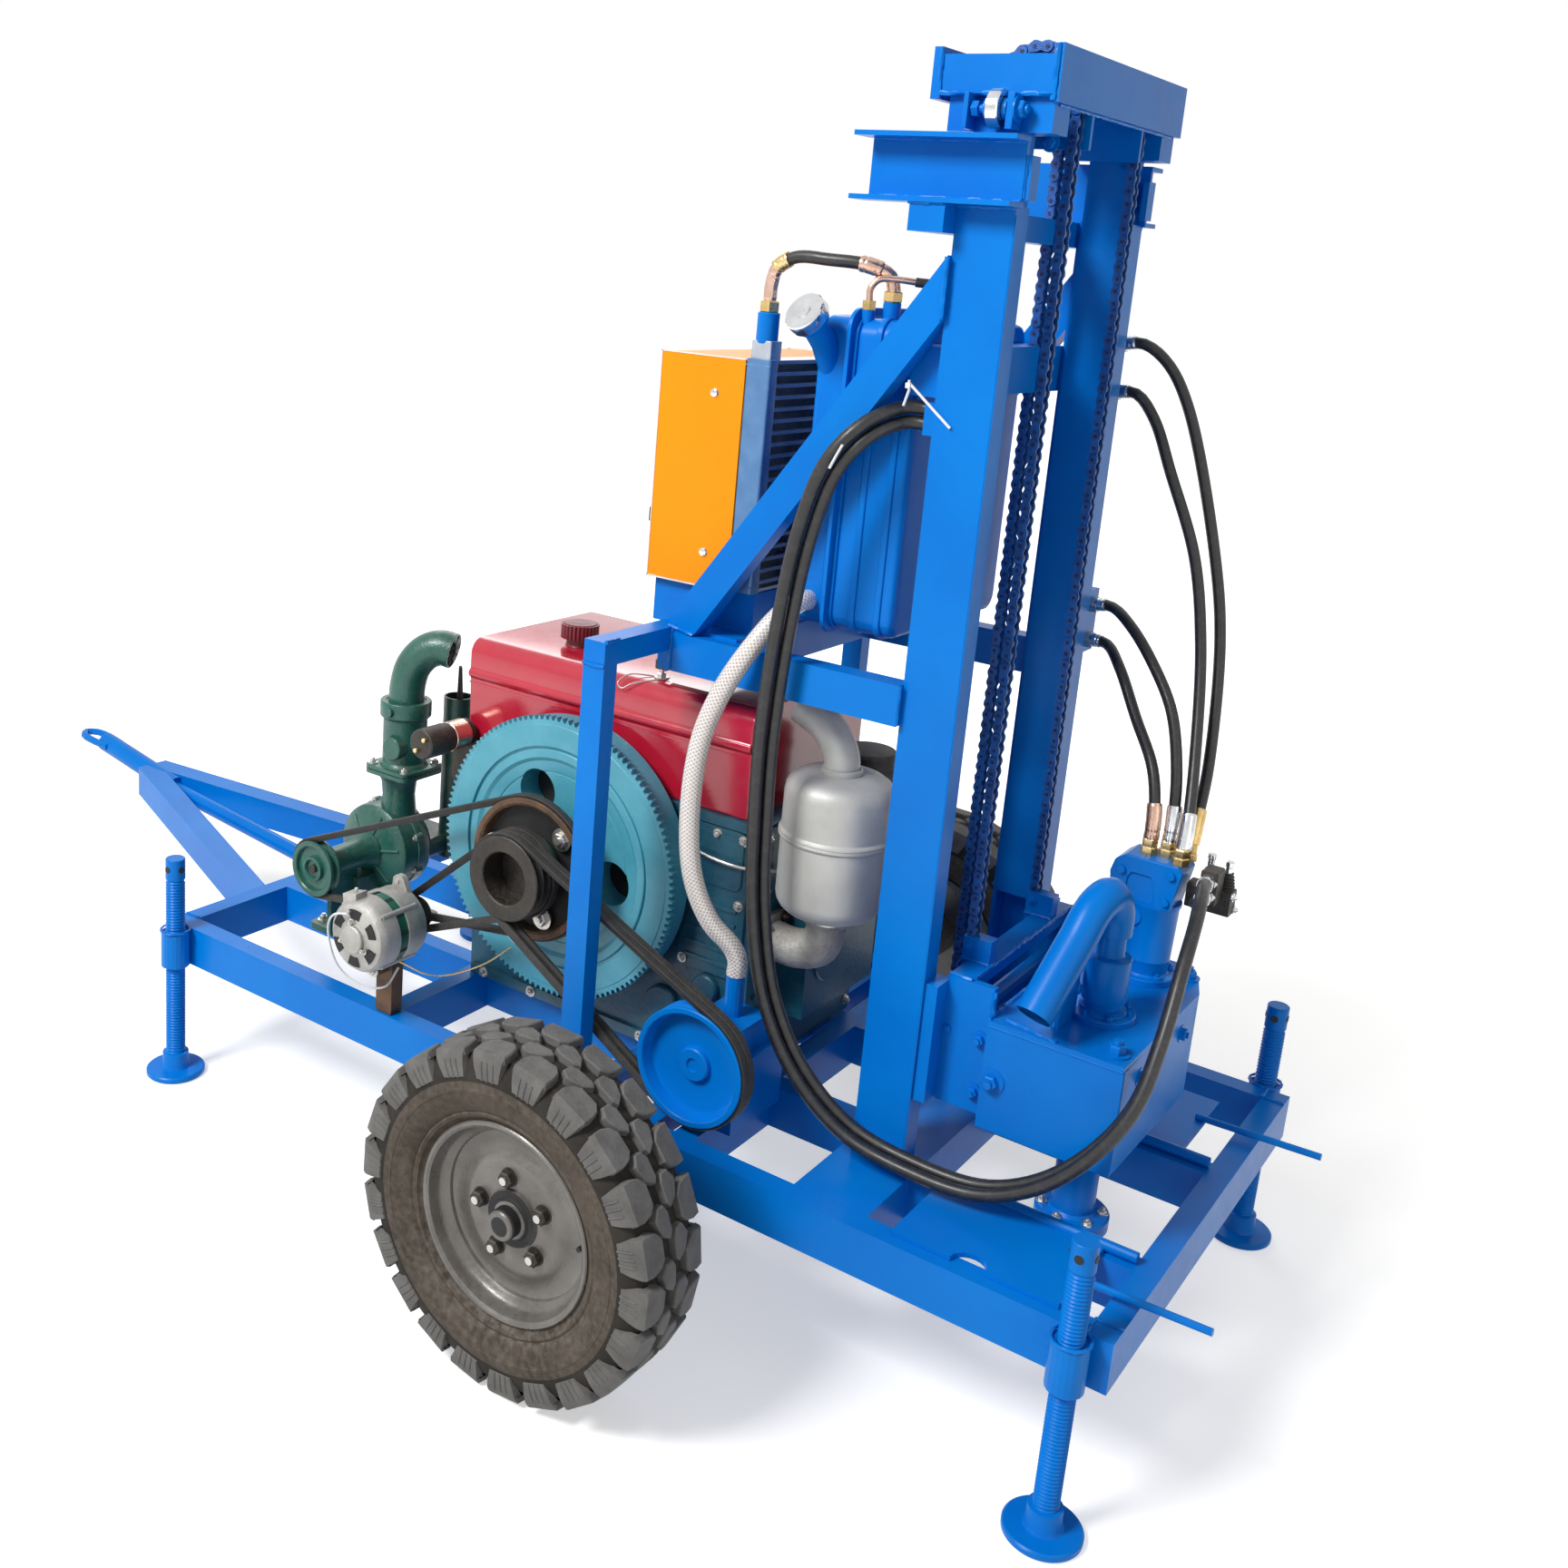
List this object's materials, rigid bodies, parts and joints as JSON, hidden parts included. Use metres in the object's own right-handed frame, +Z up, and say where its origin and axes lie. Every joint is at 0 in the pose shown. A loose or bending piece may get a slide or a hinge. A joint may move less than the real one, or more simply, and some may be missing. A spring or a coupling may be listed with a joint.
{
  "type": "trailer drilling rig",
  "caption": "Small blue trailer-mounted water-well drilling rig with a chain-lift mast, belt-driven pumps, a single-cylinder engine and corner screw jacks.",
  "frame": {"origin": "on the ground under the middle of the overall length and width", "axes": "+X to the drilling end, -X to the drawbar, +Y to the far side, +Z up"},
  "size_m": [3.0319, 1.548, 2.0449],
  "materials": {
    "blue_paint": "glossy blue enamel",
    "red_paint": "glossy crimson enamel",
    "teal_paint": "dark teal enamel",
    "flywheel_paint": "light teal enamel",
    "green_paint": "dark green enamel",
    "silver_paint": "heat-proof silver",
    "dark_metal": "dark cast iron",
    "wheel_grey": "grey rim paint",
    "tyre_rubber": "dusty road tyre",
    "black_rubber": "black rubber",
    "alloy": "cast aluminium",
    "orange_paint": "orange enamel",
    "core_alloy": "blue-grey core",
    "chain_steel": "oiled steel chain",
    "clear_plastic": "clear braided hose"
  },
  "bodies": {
    "chassis": {"air_cleaner": "dark_metal", "alternator": "alloy", "alternator_belt": "black_rubber", "axle": "blue_paint", "chain_front_far": "chain_steel", "chain_front_near": "chain_steel", "clear_hose": "clear_plastic", "cooler_hose": "black_rubber", "cooler_shroud": "orange_paint", "cross_frame": "blue_paint", "drawbar": "blue_paint", "engine_block": "teal_paint", "engine_hood": "red_paint", "far_mast_post": "blue_paint", "far_rail": "blue_paint", "far_slip": "blue_paint", "hose_far_a": "black_rubber", "hose_far_b": "black_rubber", "hose_far_c": "black_rubber", "hose_far_d": "black_rubber", "hose_near_a": "black_rubber", "hose_near_b": "black_rubber", "hyd_pump": "blue_paint", "main_belt": "black_rubber", "mast_tie_tank": "blue_paint", "mast_tie_top": "blue_paint", "muffler": "silver_paint", "near_mast_post": "blue_paint", "near_rail": "blue_paint", "near_slip": "blue_paint", "oil_cooler": "core_alloy", "oil_tank": "blue_paint", "portal": "blue_paint", "pump_belt": "black_rubber", "starter": "dark_metal", "water_pump": "green_paint"},
    "near_road_wheel": {"near_tyre": "tyre_rubber", "near_wheel": "wheel_grey"},
    "far_road_wheel": {"far_tyre": "tyre_rubber", "far_wheel": "wheel_grey"},
    "crank": {"flywheel": "flywheel_paint", "crank_pulleys": "dark_metal"},
    "pump_rotor": {"pump_pulley": "green_paint"},
    "alternator_rotor": {"alternator_pulley": "dark_metal"},
    "hydraulic_pump_rotor": {"hyd_pulley": "blue_paint"},
    "front_near_jack": {"jack_front_near": "blue_paint"},
    "front_far_jack": {"jack_front_far": "blue_paint"},
    "rear_near_jack": {"jack_rear_near": "blue_paint"},
    "rear_far_jack": {"jack_rear_far": "blue_paint"},
    "inner_mast": {"inner_mast": "blue_paint", "sprockets": "chain_steel", "chain_rear_near": "chain_steel", "chain_rear_far": "chain_steel"},
    "carriage": {"carriage": "blue_paint", "gearbox": "blue_paint", "hyd_motor": "blue_paint", "swivel": "blue_paint", "control_valve": "dark_metal"},
    "drill_spindle": {"spindle": "blue_paint"}
  },
  "joints": [
    {"name": "near_wheel_spin", "type": "hinge", "parent": "chassis", "child": "near_road_wheel", "pos_m": [0.578, -0.7, 0.284], "axis": [0, 1, 0], "continuous": true},
    {"name": "far_wheel_spin", "type": "hinge", "parent": "chassis", "child": "far_road_wheel", "pos_m": [0.578, 0.7, 0.284], "axis": [0, 1, 0], "continuous": true},
    {"name": "crank_spin", "type": "hinge", "parent": "chassis", "child": "crank", "pos_m": [0.257, 0, 0.645], "axis": [0, 1, 0], "continuous": true},
    {"name": "pump_spin", "type": "hinge", "parent": "chassis", "child": "pump_rotor", "pos_m": [-0.288, 0, 0.486], "axis": [0, 1, 0], "continuous": true},
    {"name": "alternator_spin", "type": "hinge", "parent": "chassis", "child": "alternator_rotor", "pos_m": [0.01, 0, 0.49], "axis": [0, 1, 0], "continuous": true},
    {"name": "hydraulic_pump_spin", "type": "hinge", "parent": "chassis", "child": "hydraulic_pump_rotor", "pos_m": [0.665, 0, 0.438], "axis": [0, 1, 0], "continuous": true},
    {"name": "front_near_jack_slide", "type": "slide", "parent": "chassis", "child": "front_near_jack", "axis": [0, 0, 1], "range_m": [-0.12, 0.18]},
    {"name": "front_far_jack_slide", "type": "slide", "parent": "chassis", "child": "front_far_jack", "axis": [0, 0, 1], "range_m": [-0.12, 0.18]},
    {"name": "rear_near_jack_slide", "type": "slide", "parent": "chassis", "child": "rear_near_jack", "axis": [0, 0, 1], "range_m": [-0.12, 0.18]},
    {"name": "rear_far_jack_slide", "type": "slide", "parent": "chassis", "child": "rear_far_jack", "axis": [0, 0, 1], "range_m": [-0.12, 0.18]},
    {"name": "carriage_slide", "type": "slide", "parent": "chassis", "child": "carriage", "axis": [0, 0, 1], "range_m": [0, 1.15], "deforming": ["hose_near_a", "hose_near_b", "hose_far_a", "hose_far_b", "hose_far_c", "hose_far_d"]},
    {"name": "inner_mast_lift", "type": "slide", "parent": "chassis", "child": "inner_mast", "axis": [0, 0, 1], "range_m": [0, 0.575], "deforming": ["chain_rear_near", "chain_rear_far", "chain_front_near", "chain_front_far"]},
    {"name": "spindle_spin", "type": "hinge", "parent": "carriage", "child": "drill_spindle", "pos_m": [1.213, -0.08, 0.35], "axis": [0, 0, 1], "continuous": true}
  ],
  "couplings": [
    {"joint": "pump_spin", "follows": "crank_spin", "ratio": 2.2801},
    {"joint": "alternator_spin", "follows": "crank_spin", "ratio": 2.3875},
    {"joint": "hydraulic_pump_spin", "follows": "crank_spin", "ratio": 0.749},
    {"joint": "inner_mast_lift", "follows": "carriage_slide", "ratio": 0.5}
  ]
}
